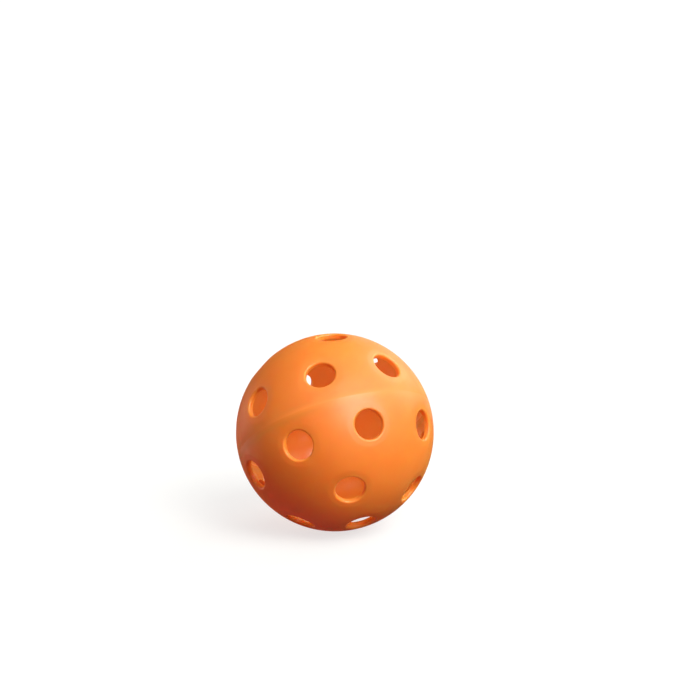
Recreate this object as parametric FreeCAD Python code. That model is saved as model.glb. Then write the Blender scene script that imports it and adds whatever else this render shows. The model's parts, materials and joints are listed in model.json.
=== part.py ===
import FreeCAD, Part
import math
import os

# Indoor pickleball ball: a hollow plastic sphere moulded as two half shells, each with thirteen
# round holes, whose rims lap over each other and are welded together by a thin seam ring.
#
# The pieces are drawn about the moulding axis, which runs through both pole holes and stands at
# right angles to the seam. They are then turned as one, so that one hole of the upper ring of
# four points straight up:
#   origin  centre of the ball
#   +Z      out through the top hole
#   YZ      plane that holds the moulding axis; the upper pole leans towards +Y

# ---- Driving dimensions: millimetres and degrees ----
BALL_DIAMETER = 74.0
WALL = 2.0

HOLE_DIAMETER = 10.8
OUTER_RIM_ROUNDING = 0.7
INNER_RIM_ROUNDING = 0.15

RING_STEP = 36.0  # polar angle from the pole hole to the ring of four, and on to the ring of eight
FOUR = 4
EIGHT = 8
UPPER_FOUR_AZIMUTH = -90.0  # the top hole
LOWER_FOUR_AZIMUTH = -24.8  # the halves are staggered, so no hole faces another across the seam

LAP_RADIUS = 36.0  # outside of the upper shell's lip, inside of the lower shell's rebate
LAP_DEPTH = 1.2  # how far the lip reaches below the seam plane
LIP_LEAD_IN = 0.2  # chamfer at the tip of the lip
WELD_WIDTH = 0.7  # height of the weld ring, measured along the moulding axis
WELD_CROWN = 0.03  # how far the weld stands proud of the sphere

# ---- Worked out from them ----
OUTER_RADIUS = BALL_DIAMETER / 2
INNER_RADIUS = OUTER_RADIUS - WALL
HOLE_RADIUS = HOLE_DIAMETER / 2
WELD_HALF = WELD_WIDTH / 2

ORIGIN = FreeCAD.Vector(0, 0, 0)
AXIS_X = FreeCAD.Vector(1, 0, 0)
AXIS_Z = FreeCAD.Vector(0, 0, 1)
HALF_TURN = 180.0
FULL_TURN = 360.0
SAME_LENGTH = 0.01  # two lengths closer than this are one and the same


def width_at(radius, height):
    """Distance from the moulding axis to a sphere of that radius, at that height."""
    return math.sqrt(radius ** 2 - height ** 2)


def section_point(width, height):
    return FreeCAD.Vector(width, 0, height)


def revolve(wire):
    """Turn a closed section about the moulding axis."""
    return Part.Face(wire).revolve(ORIGIN, AXIS_Z, FULL_TURN)


def hollow_ball(start_azimuth):
    """Whole wall without holes; the spheres' own seam line runs down the meridian at start_azimuth."""
    ball = Part.makeSphere(OUTER_RADIUS).cut(Part.makeSphere(INNER_RADIUS))
    ball.rotate(ORIGIN, AXIS_Z, start_azimuth)
    return ball


def upper_zone():
    """Space the upper half takes: above the weld, and down to the lip's tip inside the weld."""
    reach = OUTER_RADIUS + WALL
    outline = [
        section_point(0, reach),
        section_point(0, -LAP_DEPTH),
        section_point(LAP_RADIUS - LIP_LEAD_IN, -LAP_DEPTH),
        section_point(LAP_RADIUS, -LAP_DEPTH + LIP_LEAD_IN),
        section_point(LAP_RADIUS, WELD_HALF),
        section_point(reach, WELD_HALF),
        section_point(reach, reach),
    ]
    return revolve(Part.makePolygon(outline + outline[:1]))


def lower_zone():
    """Space the lower half takes: below the weld, with a rebate on the inside for the lip."""
    reach = OUTER_RADIUS + WALL
    outline = [
        section_point(0, -reach),
        section_point(0, -LAP_DEPTH),
        section_point(LAP_RADIUS, -LAP_DEPTH),
        section_point(LAP_RADIUS, -WELD_HALF),
        section_point(reach, -WELD_HALF),
        section_point(reach, -reach),
    ]
    return revolve(Part.makePolygon(outline + outline[:1]))


def direction(polar, azimuth):
    """Unit vector at a polar angle from the upper end of the moulding axis."""
    tilt = math.radians(polar)
    turn = math.radians(azimuth)
    return FreeCAD.Vector(
        math.sin(tilt) * math.cos(turn),
        math.sin(tilt) * math.sin(turn),
        math.cos(tilt),
    )


def ring(count, polar, first_azimuth):
    return [direction(polar, first_azimuth + FULL_TURN / count * k) for k in range(count)]


def upper_holes():
    """Pole hole, ring of four, and ring of eight with its holes either side of each of the four."""
    stagger = FULL_TURN / EIGHT / 2
    return (
        [direction(0, 0)]
        + ring(FOUR, RING_STEP, UPPER_FOUR_AZIMUTH)
        + ring(EIGHT, 2 * RING_STEP, UPPER_FOUR_AZIMUTH + stagger)
    )


def lower_holes():
    stagger = FULL_TURN / EIGHT / 2
    return (
        [direction(HALF_TURN, 0)]
        + ring(FOUR, HALF_TURN - RING_STEP, LOWER_FOUR_AZIMUTH)
        + ring(EIGHT, HALF_TURN - 2 * RING_STEP, LOWER_FOUR_AZIMUTH + stagger)
    )


def drill(shell, hole_directions):
    """Cut a round hole through the wall along each direction, from the centre of the ball outwards."""
    reach = OUTER_RADIUS + WALL
    drills = [Part.makeCylinder(HOLE_RADIUS, reach, ORIGIN, way) for way in hole_directions]
    return shell.cut(drills)


def rim_edges(shell, sphere_radius):
    """The holes' circular edges that lie on a sphere of that radius."""
    rim_height = width_at(sphere_radius, HOLE_RADIUS)
    found = []
    for edge in shell.Edges:
        curve = edge.Curve
        if not isinstance(curve, Part.Circle):
            continue
        same_size = abs(curve.Radius - HOLE_RADIUS) < SAME_LENGTH
        same_place = abs(curve.Center.Length - rim_height) < SAME_LENGTH
        if same_size and same_place:
            found.append(edge)
    return found


def round_rims(shell):
    """Round each hole's outside edge generously and its inside edge slightly, as moulding leaves them."""
    shell = shell.makeFillet(OUTER_RIM_ROUNDING, rim_edges(shell, OUTER_RADIUS))
    return shell.makeFillet(INNER_RIM_ROUNDING, rim_edges(shell, INNER_RADIUS))


def upper_half_shell():
    clear_azimuth = UPPER_FOUR_AZIMUTH + FULL_TURN / EIGHT
    blank = hollow_ball(clear_azimuth).common(upper_zone())
    return round_rims(drill(blank, upper_holes()))


def lower_half_shell():
    clear_azimuth = LOWER_FOUR_AZIMUTH + FULL_TURN / EIGHT
    blank = hollow_ball(clear_azimuth).common(lower_zone())
    return round_rims(drill(blank, lower_holes()))


def weld_seam():
    """Ring of fused plastic between the two rims, outside the lip, very slightly crowned."""
    rim_width = width_at(OUTER_RADIUS, WELD_HALF)
    inner_low = section_point(LAP_RADIUS, -WELD_HALF)
    outer_low = section_point(rim_width, -WELD_HALF)
    crown = section_point(OUTER_RADIUS + WELD_CROWN, 0)
    outer_high = section_point(rim_width, WELD_HALF)
    inner_high = section_point(LAP_RADIUS, WELD_HALF)
    edges = [
        Part.makeLine(inner_low, outer_low),
        Part.Arc(outer_low, crown, outer_high).toShape(),
        Part.makeLine(outer_high, inner_high),
        Part.makeLine(inner_high, inner_low),
    ]
    return revolve(Part.Wire(edges))


def as_used(piece):
    """Turn a piece from the moulding axis to the ball's own frame, top hole up."""
    turned = piece.copy()
    turned.rotate(ORIGIN, AXIS_X, -RING_STEP)
    return turned


PIECES = {
    "upper_half_shell": upper_half_shell,
    "lower_half_shell": lower_half_shell,
    "weld_seam": weld_seam,
}

os.makedirs("parts", exist_ok=True)
for name, make in PIECES.items():
    shape = as_used(make())
    solid = shape.Solids[0]
    box = solid.BoundBox
    print(
        f"{name}: valid {solid.isValid()}, solids {len(shape.Solids)}, faces {len(solid.Faces)}, "
        f"{solid.Volume:.1f} mm3, {box.XLength:.2f} x {box.YLength:.2f} x {box.ZLength:.2f} mm"
    )
    solid.exportStep(f"parts/{name}.step")
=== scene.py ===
import json
import math

import bmesh
import bpy
from mathutils import Matrix, Vector


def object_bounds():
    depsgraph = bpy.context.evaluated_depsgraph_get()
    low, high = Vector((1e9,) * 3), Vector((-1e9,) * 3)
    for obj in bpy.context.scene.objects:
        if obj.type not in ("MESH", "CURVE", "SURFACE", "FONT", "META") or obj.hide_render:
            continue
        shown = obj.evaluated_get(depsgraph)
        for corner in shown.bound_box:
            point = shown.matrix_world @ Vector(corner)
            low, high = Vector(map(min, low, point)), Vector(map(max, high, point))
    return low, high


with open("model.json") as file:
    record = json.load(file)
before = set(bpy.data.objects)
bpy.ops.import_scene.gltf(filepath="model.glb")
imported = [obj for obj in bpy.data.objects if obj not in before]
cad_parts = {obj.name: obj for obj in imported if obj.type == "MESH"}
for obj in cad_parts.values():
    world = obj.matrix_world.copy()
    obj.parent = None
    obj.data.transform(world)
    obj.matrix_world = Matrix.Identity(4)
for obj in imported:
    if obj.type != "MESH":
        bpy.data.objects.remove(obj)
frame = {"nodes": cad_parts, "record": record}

# Indoor pickleball ball: two orange half shells and the weld between them, on a pale studio floor.
# Everything is in metres, in the frame of the CAD model: the centre of the ball is the origin.

CAD_LOW, CAD_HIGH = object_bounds()
BALL_RADIUS = (CAD_HIGH.z - CAD_LOW.z) / 2  # the hole at the top makes this 0.3 mm less than the real one
MOUNTS = {mount["name"]: mount for mount in frame["record"]["mounts"]}
MOULD_AXIS = Vector(MOUNTS["upper_pole_hole"]["axis"])
MM = 0.001
WALL = MOUNTS["top_hole"]["dims"]["length_mm"] * MM

# ---- Camera: where it stands round the ball, and where the ball falls in the square picture ----
CAMERA_AZIMUTH = math.radians(-23.34)
CAMERA_ELEVATION = math.radians(15.19)
CAMERA_ROLL = math.radians(1.97)
CAMERA_DISTANCE = 24.0 * BALL_RADIUS
CAMERA_NEAR = 0.01
CAMERA_FAR = 20.0
SENSOR = 36.0  # width, in Blender's millimetres
BALL_SHARE = 0.2806  # width of the ball's outline, as a share of the picture's width
BALL_RIGHT = -0.0216  # from the picture's middle to the ball's, as a share of its width
BALL_DOWN = 0.1175

# ---- Studio ----
FLOOR_Z = CAD_LOW.z
FLOOR_FLAT_RADIUS = 3.2
COVE_RADIUS = 1.6
COVE_WALL_TOP = 3.2
COVE_STEPS = 12
COVE_SIDES = 96
SAME_CORNER = 1e-6  # corners of the floor nearer than this are one
FLOOR_GREY = 0.26
FLOOR_GLOW = 0.69  # lifts the floor to the white of a lit studio sweep

# Lights far off: direction as camera right, up and back, angular width in degrees, light on a
# surface that faces them in W/m2, and colour.
LIGHTS = {
    "key_softbox": ((0.47, 0.48, 0.74), 48, 3.1, (1.0, 1.0, 0.94)),
    "key_core": ((0.42, 0.45, 0.79), 18, 0.80, (1.0, 1.0, 0.94)),
    "right_bank": ((0.74, 0.32, 0.59), 44, 0.55, (0.95, 1.0, 0.93)),
    "right_strip": ((0.94, 0.26, 0.20), 44, 0.24, (0.75, 1.0, 0.90)),
    "overhead_bank": ((-0.05, 0.85, 0.52), 70, 0.74, (0.92, 1.0, 0.92)),
    "back_strip": ((0.68, 0.66, -0.30), 44, 1.5, (0.88, 1.0, 1.0)),
    "upper_right_sheen": ((0.36, 0.38, -0.85), 40, 0.27, (0.85, 1.0, 1.0)),
    "cool_left_rim": ((-0.82, 0.06, -0.57), 44, 0.74, (1.0, 0.53, 0.38)),
    "low_left_bounce": ((-0.36, -0.85, -0.38), 60, 0.54, (1.0, 0.16, 0.14)),
    "back_fill": ((-0.16, 0.18, -0.97), 70, 2.8, (1.0, 1.0, 0.92)),
}
WITHOUT_GLINT = ("right_bank", "back_fill")  # these stand for light off the room, too soft to mirror
STUDIO_AIR = (0.11, 0.060, 0.052, 1)  # faint, warm light from everywhere
GLOW_POWER = 0.034  # stands for the daylight that soaks through the whole thin wall
GLOW_RADIUS = 12 * MM
GLOW_COLOUR = (0.25, 0.56, 0.85)

# ---- Plastic: colour ----
ORANGE = (0.81, 0.246, 0.034, 1)
ORANGE_DENSE = (0.78, 0.222, 0.028, 1)  # where more pigment gathered
ORANGE_PALE = (0.86, 0.300, 0.055, 1)  # polished rims and scuffs
ORANGE_FUSED = (0.86, 0.231, 0.032, 1)  # painted light: a redder orange beside the weld that stands in for the red light the plastic scatters elsewhere, which is switched off there
STREAK_TINT = 0.35  # share of the dense orange in the strongest flow streak
RIM_TINT = 0.18  # share of the pale orange on a rubbed rim
SCUFF_TINT = 0.30

# ---- Plastic: gloss and scattered light ----
SHELL_ROUGHNESS = (0.36, 0.44)
WELD_ROUGHNESS = (0.33, 0.42)
STREAK_DULLING = 0.05
RIM_POLISH = 0.05
SCUFF_DULLING = 0.12
POLISH_INSIDE = 0.28  # how much smoother the mould's core leaves the inner wall
PLASTIC_IOR = 1.51
SCATTER_RADIUS = (1.0, 0.55, 0.25)  # how much further red light travels in the plastic than green and blue
SCATTER_DEPTH = 3.0 * MM
SEAM_CLEAR = 0.4 * MM  # no light is scattered this near to the weld, where the pieces meet inside
SEAM_FADE = 1.8 * MM
BAND_EDGE = 0.3 * MM  # a duller band over the weld cuts the highlight off: how sharply it starts,
BAND_REACH = 9.0 * MM  # how far up it has faded away,
BAND_DULLING = 0.16  # and the roughness that it adds

# ---- Plastic: relief ----
FLARE_WIDTH = 3.5 * MM  # the halves swell a little towards the weld
FLARE_HEIGHT = 0.02 * MM
RIM_INSIDE = 5.8 * MM  # distance from a hole's axis at which its rim is most rubbed
RIM_OUTSIDE = 6.7 * MM
LEAD_IN_REACH = 8.6 * MM  # the wall starts to roll down into the hole this far from its axis
LEAD_IN_DEPTH = 0.20 * MM
WAVE_HEIGHT = 0.012 * MM
WAVE_CALMING = 0.8  # share of the waviness that is missing from the smooth inner wall
GRAIN_HEIGHT = 0.004 * MM
SCUFF_DEPTH = 0.006 * MM

# ---- Plastic: how fine each pattern is, in features per metre ----
CLOUDS = 34.0
SCUFF_PATCHES = 55.0
GLOSS_PATCHES = 260.0
WAVES = 900.0
SCUFF_MARKS = 1500.0
GRAINS = 5200.0
STREAKS = 7.0  # not per metre but per radius, round the mould's axis


# ---------------------------------------------------------------- camera

def camera_axes():
    """Right, up and back of a camera that looks straight at the middle of the ball."""
    back = Vector((
        math.sin(CAMERA_AZIMUTH) * math.cos(CAMERA_ELEVATION),
        -math.cos(CAMERA_AZIMUTH) * math.cos(CAMERA_ELEVATION),
        math.sin(CAMERA_ELEVATION),
    ))
    level_right = Vector((0, 0, 1)).cross(back).normalized()
    level_up = back.cross(level_right)
    roll = Matrix.Rotation(-CAMERA_ROLL, 3, back)
    return roll @ level_right, roll @ level_up, back


def rotation_of(right, up, back):
    return Matrix((right, up, back)).transposed()


def make_camera():
    right, up, back = camera_axes()
    data = bpy.data.cameras.new("studio_camera")
    data.sensor_width = SENSOR
    outline_tangent = 1 / math.sqrt((CAMERA_DISTANCE / BALL_RADIUS) ** 2 - 1)
    data.lens = SENSOR * BALL_SHARE / 2 / outline_tangent
    camera = bpy.data.objects.new("studio_camera", data)
    bpy.context.scene.collection.objects.link(camera)
    # the aim passes beside the ball, so that the ball falls left of and below the middle
    aim = -back + (right * -BALL_RIGHT + up * BALL_DOWN) * SENSOR / data.lens
    new_back = -aim.normalized()
    new_right = up.cross(new_back).normalized()
    new_up = new_back.cross(new_right)
    pose = rotation_of(new_right, new_up, new_back).to_4x4()
    pose.translation = back * CAMERA_DISTANCE
    camera.matrix_world = pose
    data.clip_start = CAMERA_NEAR
    data.clip_end = CAMERA_FAR
    bpy.context.scene.camera = camera


# ---------------------------------------------------------------- nodes

class Nodes:
    """Short calls for building one material's node tree."""

    def __init__(self, name):
        self.material = bpy.data.materials.new(name)
        self.material.use_nodes = True
        self.tree = self.material.node_tree
        self.tree.nodes.clear()
        self.output = self.tree.nodes.new("ShaderNodeOutputMaterial")

    def add(self, kind, **values):
        node = self.tree.nodes.new(kind)
        for name, value in values.items():
            setattr(node, name, value)
        return node

    def link(self, source, target):
        self.tree.links.new(source, target)

    def feed(self, target, value):
        """Link a socket, or set a constant."""
        if isinstance(value, bpy.types.NodeSocket):
            self.link(value, target)
        else:
            target.default_value = value

    def math(self, operation, a, b=0.0, c=0.0):
        node = self.add("ShaderNodeMath", operation=operation)
        for socket, value in zip(node.inputs, (a, b, c)):
            self.feed(socket, value)
        return node.outputs[0]

    def object_position(self):
        return self.add("ShaderNodeTexCoord").outputs["Object"]

    def vector_math(self, operation, a, b=None, scale=None):
        node = self.add("ShaderNodeVectorMath", operation=operation)
        self.feed(node.inputs[0], a)
        if b is not None:
            self.feed(node.inputs[1], b)
        if scale is not None:
            self.feed(node.inputs["Scale"], scale)
        return node.outputs["Vector"]

    def length(self, vector):
        node = self.add("ShaderNodeVectorMath", operation="LENGTH")
        self.feed(node.inputs[0], vector)
        return node.outputs["Value"]

    def dot(self, vector, constant):
        node = self.add("ShaderNodeVectorMath", operation="DOT_PRODUCT")
        self.feed(node.inputs[0], vector)
        node.inputs[1].default_value = constant
        return node.outputs["Value"]

    def noise(self, vector, scale, detail=3.0, roughness=0.5, distortion=0.0):
        node = self.add("ShaderNodeTexNoise")
        self.feed(node.inputs["Vector"], vector)
        node.inputs["Scale"].default_value = scale
        node.inputs["Detail"].default_value = detail
        node.inputs["Roughness"].default_value = roughness
        node.inputs["Distortion"].default_value = distortion
        return node.outputs["Fac"]

    def ramp(self, value, low, high, to_low=0.0, to_high=1.0):
        """An eased step from to_low to to_high, as the value goes from low to high."""
        node = self.add("ShaderNodeMapRange", interpolation_type="SMOOTHSTEP")
        self.feed(node.inputs["Value"], value)
        node.inputs["From Min"].default_value = low
        node.inputs["From Max"].default_value = high
        node.inputs["To Min"].default_value = to_low
        node.inputs["To Max"].default_value = to_high
        return node.outputs["Result"]

    def mix_colour(self, factor, a, b):
        node = self.add("ShaderNodeMix", data_type="RGBA")
        self.feed(node.inputs["Factor"], factor)
        self.feed(node.inputs["A"], a)
        self.feed(node.inputs["B"], b)
        return node.outputs["Result"]

    def bump(self, height, distance, strength=1.0, normal=None):
        node = self.add("ShaderNodeBump")
        self.feed(node.inputs["Height"], height)
        node.inputs["Distance"].default_value = distance
        node.inputs["Strength"].default_value = strength
        if normal is not None:
            self.link(normal, node.inputs["Normal"])
        return node.outputs["Normal"]


# ---------------------------------------------------------------- materials

def hole_directions():
    """Unit vectors from the centre of the ball out through every hole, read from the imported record."""
    ways = [Vector(mount["axis"]) for mount in MOUNTS.values()]
    for opening in frame["record"]["physics"]["openings"]:
        if opening["name"].endswith("_hole"):
            low, high = (Vector(corner) for corner in opening["box_m"])
            ways.append(((low + high) / 2).normalized())
    return ways


def from_nearest_hole(n, place):
    """Distance on the ball from the axis of the nearest hole."""
    outward = n.vector_math("NORMALIZE", place)
    cosine = -1.0
    for way in hole_directions():
        cosine = n.math("MAXIMUM", n.dot(outward, way), cosine)
    return n.math("MULTIPLY", n.math("ARCCOSINE", cosine), BALL_RADIUS)


def flow_lines(n, place):
    """Faint streaks the melt leaves as it runs from the poles to the weld."""
    along = n.vector_math("SCALE", MOULD_AXIS, scale=n.dot(place, MOULD_AXIS))
    around = n.vector_math("NORMALIZE", n.vector_math("SUBTRACT", place, along))
    return n.noise(around, STREAKS, detail=4.0, roughness=0.6)


def inner_wall(n, place):
    """1 on the surface that faces the hollow, 0 from a third of the way out through the wall."""
    inner_radius = BALL_RADIUS - WALL
    fade_start = inner_radius + 0.1 * WALL
    fade_end = inner_radius + 0.3 * WALL
    return n.ramp(n.length(place), fade_start, fade_end, to_low=1.0, to_high=0.0)


def scuffs(n, place):
    """Scattered patches of fine rubbed marks, 1 where the surface is dulled."""
    patches = n.noise(place, SCUFF_PATCHES, detail=3.0, roughness=0.6)
    marks = n.noise(place, SCUFF_MARKS, detail=2.0, roughness=0.7, distortion=1.5)
    return n.math("MULTIPLY", n.ramp(patches, 0.56, 0.70), n.ramp(marks, 0.50, 0.62))


def dull_band(n, above_seam):
    """Added roughness of the band just over the weld, as if the trimming of its flash had dulled it."""
    over = n.ramp(above_seam, 0.0, BAND_EDGE)
    fade = n.ramp(above_seam, BAND_EDGE, BAND_REACH, to_low=BAND_DULLING, to_high=0.0)
    return n.math("MULTIPLY", over, fade)


class Places:
    """Where on the ball a point is, as sockets that the colour, the gloss and the relief share."""

    def __init__(self, n):
        self.place = n.object_position()
        self.from_hole = from_nearest_hole(n, self.place)
        self.rim = n.ramp(self.from_hole, RIM_INSIDE, RIM_OUTSIDE, to_low=1.0, to_high=0.0)
        self.inside = inner_wall(n, self.place)
        self.streaks = flow_lines(n, self.place)
        self.dulled = scuffs(n, self.place)
        self.above_seam = n.dot(self.place, MOULD_AXIS)
        self.from_seam = n.math("ABSOLUTE", self.above_seam)
        self.scattering = n.ramp(self.from_seam, SEAM_CLEAR, SEAM_FADE)


def plastic_colour(n, on):
    """Slightly clouded orange, streaked along the flow and paler where it has been rubbed. Beside the weld
    it turns redder, a painted stand-in for scattered light.
    """
    cloud = n.ramp(n.noise(on.place, CLOUDS, detail=2.0), 0.3, 0.7)
    streak = n.ramp(on.streaks, 0.45, 0.75, to_high=STREAK_TINT)
    colour = n.mix_colour(cloud, ORANGE, ORANGE_DENSE)
    colour = n.mix_colour(streak, colour, ORANGE_DENSE)
    # painted light: where no light is scattered beside the weld, a redder orange stands in for that
    # scattered red light
    colour = n.mix_colour(on.scattering, ORANGE_FUSED, colour)
    colour = n.mix_colour(n.math("MULTIPLY", on.rim, RIM_TINT), colour, ORANGE_PALE)
    return n.mix_colour(n.math("MULTIPLY", on.dulled, SCUFF_TINT), colour, ORANGE_PALE)


def plastic_roughness(n, on, roughness):
    """Satin with uneven patches, smoother on the rims and inside, duller on scuffs and over the weld."""
    smoothest, dullest = roughness
    patches = n.noise(on.place, GLOSS_PATCHES, detail=4.0)
    gloss = n.ramp(patches, 0.25, 0.75, to_low=smoothest, to_high=dullest)
    gloss = n.math("MULTIPLY_ADD", on.streaks, STREAK_DULLING, gloss)
    gloss = n.math("MULTIPLY_ADD", on.rim, -RIM_POLISH, gloss)
    gloss = n.math("MULTIPLY_ADD", on.dulled, SCUFF_DULLING, gloss)
    gloss = n.math("MULTIPLY_ADD", on.inside, -POLISH_INSIDE, gloss)
    return n.math("ADD", gloss, dull_band(n, on.above_seam))


def plastic_relief(n, on):
    """The swell at the seam, the roll into each hole, waviness, mould grain and scuffs, one on the other."""
    swell = n.ramp(on.from_seam, 0.0, FLARE_WIDTH, to_low=1.0, to_high=0.0)
    flared = n.bump(swell, FLARE_HEIGHT)
    roll = n.ramp(on.from_hole, RIM_INSIDE, LEAD_IN_REACH, to_low=-1.0, to_high=0.0)
    rolled = n.bump(roll, LEAD_IN_DEPTH, normal=flared)
    calm = n.math("MULTIPLY_ADD", on.inside, -WAVE_CALMING, 1.0)
    waves = n.math("MULTIPLY", n.noise(on.place, WAVES, detail=3.0), calm)
    wavy = n.bump(waves, WAVE_HEIGHT, normal=rolled)
    grained = n.bump(n.noise(on.place, GRAINS, detail=2.0), GRAIN_HEIGHT, strength=0.6, normal=wavy)
    return n.bump(on.dulled, SCUFF_DEPTH, strength=0.5, normal=grained)


def shell_plastic(name, roughness):
    """Satin, slightly translucent orange polyethylene that has been handled a little."""
    n = Nodes(name)
    on = Places(n)
    shader = n.add("ShaderNodeBsdfPrincipled")
    n.link(plastic_colour(n, on), shader.inputs["Base Color"])
    n.link(plastic_roughness(n, on, roughness), shader.inputs["Roughness"])
    n.link(plastic_relief(n, on), shader.inputs["Normal"])
    n.link(on.scattering, shader.inputs["Subsurface Weight"])
    shader.inputs["Subsurface Radius"].default_value = SCATTER_RADIUS
    shader.inputs["Subsurface Scale"].default_value = SCATTER_DEPTH
    shader.inputs["IOR"].default_value = PLASTIC_IOR
    n.link(shader.outputs[0], n.output.inputs["Surface"])
    return n.material


def floor_paint():
    n = Nodes("pale_floor")
    shader = n.add("ShaderNodeBsdfPrincipled")
    shader.inputs["Base Color"].default_value = (FLOOR_GREY, FLOOR_GREY, FLOOR_GREY, 1)
    shader.inputs["Roughness"].default_value = 1.0
    shader.inputs["Specular IOR Level"].default_value = 0.0
    shader.inputs["Emission Color"].default_value = (1, 1, 1, 1)
    shader.inputs["Emission Strength"].default_value = FLOOR_GLOW
    n.link(shader.outputs[0], n.output.inputs["Surface"])
    return n.material


def give(node_name, material):
    slots = frame["nodes"][node_name].data.materials
    slots.clear()
    slots.append(material)


# ---------------------------------------------------------------- studio

def make_cove():
    """Round studio floor that curves up into a wall on every side."""
    outline = [(0.0, 0.0), (FLOOR_FLAT_RADIUS, 0.0)]
    for k in range(1, COVE_STEPS + 1):
        angle = math.radians(90) * k / COVE_STEPS
        outline.append((
            FLOOR_FLAT_RADIUS + COVE_RADIUS * math.sin(angle),
            COVE_RADIUS * (1 - math.cos(angle)),
        ))
    outline.append((FLOOR_FLAT_RADIUS + COVE_RADIUS, COVE_WALL_TOP))
    mesh = bpy.data.meshes.new("studio_floor")
    form = bmesh.new()
    corners = [form.verts.new((width, 0, FLOOR_Z + height)) for width, height in outline]
    edges = [form.edges.new(pair) for pair in zip(corners, corners[1:])]
    bmesh.ops.spin(
        form, geom=corners + edges, cent=(0, 0, 0), axis=(0, 0, 1), dvec=(0, 0, 0),
        angle=math.tau, steps=COVE_SIDES, use_merge=True,
    )
    bmesh.ops.remove_doubles(form, verts=form.verts, dist=SAME_CORNER)
    bmesh.ops.recalc_face_normals(form, faces=form.faces)
    form.to_mesh(mesh)
    form.free()
    for face in mesh.polygons:
        face.use_smooth = True
    floor = bpy.data.objects.new("studio_floor", mesh)
    bpy.context.scene.collection.objects.link(floor)
    mesh.materials.append(floor_paint())
    # the white sweep is for the camera alone, so that it doesn't wash out the ball's shaded side
    floor.visible_diffuse = False
    floor.visible_glossy = False
    floor.visible_shadow = False


def far_light(name, towards, width, irradiance, colour):
    """A soft light too far off to fall away across the floor."""
    right, up, back = camera_axes()
    way = (right * towards[0] + up * towards[1] + back * towards[2]).normalized()
    data = bpy.data.lights.new(name, "SUN")
    data.angle = math.radians(width)
    data.energy = irradiance
    data.color = colour
    lamp = bpy.data.objects.new(name, data)
    bpy.context.scene.collection.objects.link(lamp)
    lamp.location = way
    lamp.rotation_mode = "QUATERNION"
    lamp.rotation_quaternion = way.to_track_quat("Z", "Y")
    lamp.visible_glossy = name not in WITHOUT_GLINT


def glow_inside(shells):
    """A dim light in the hollow, for the shells alone: it spills nothing on the floor."""
    data = bpy.data.lights.new("soaked_through_glow", "POINT")
    data.energy = GLOW_POWER
    data.color = GLOW_COLOUR
    data.shadow_soft_size = GLOW_RADIUS
    lamp = bpy.data.objects.new("soaked_through_glow", data)
    lamp.visible_camera = False
    lamp.visible_glossy = False
    bpy.context.scene.collection.objects.link(lamp)
    lit = bpy.data.collections.new("lit_from_inside")
    for shell in shells:
        lit.objects.link(shell)
    lamp.light_linking.receiver_collection = lit


def light_studio():
    for name, settings in LIGHTS.items():
        far_light(name, *settings)
    glow_inside(frame["nodes"].values())
    world = bpy.data.worlds.new("studio_air")
    bpy.context.scene.world = world
    world.use_nodes = True
    background = world.node_tree.nodes["Background"]
    background.inputs["Color"].default_value = STUDIO_AIR


# ---------------------------------------------------------------- build

make_camera()
make_cove()
light_studio()
shell_orange = shell_plastic("satin_orange_plastic", SHELL_ROUGHNESS)
# the weld lies wholly in the band without scattering, so its orange is the painted scattered light
weld_orange = shell_plastic("weld_orange_plastic_painted_scatter", WELD_ROUGHNESS)
give("upper_half_shell", shell_orange)
give("lower_half_shell", shell_orange)
give("weld_seam", weld_orange)
bpy.context.scene.view_settings.view_transform = "Standard"
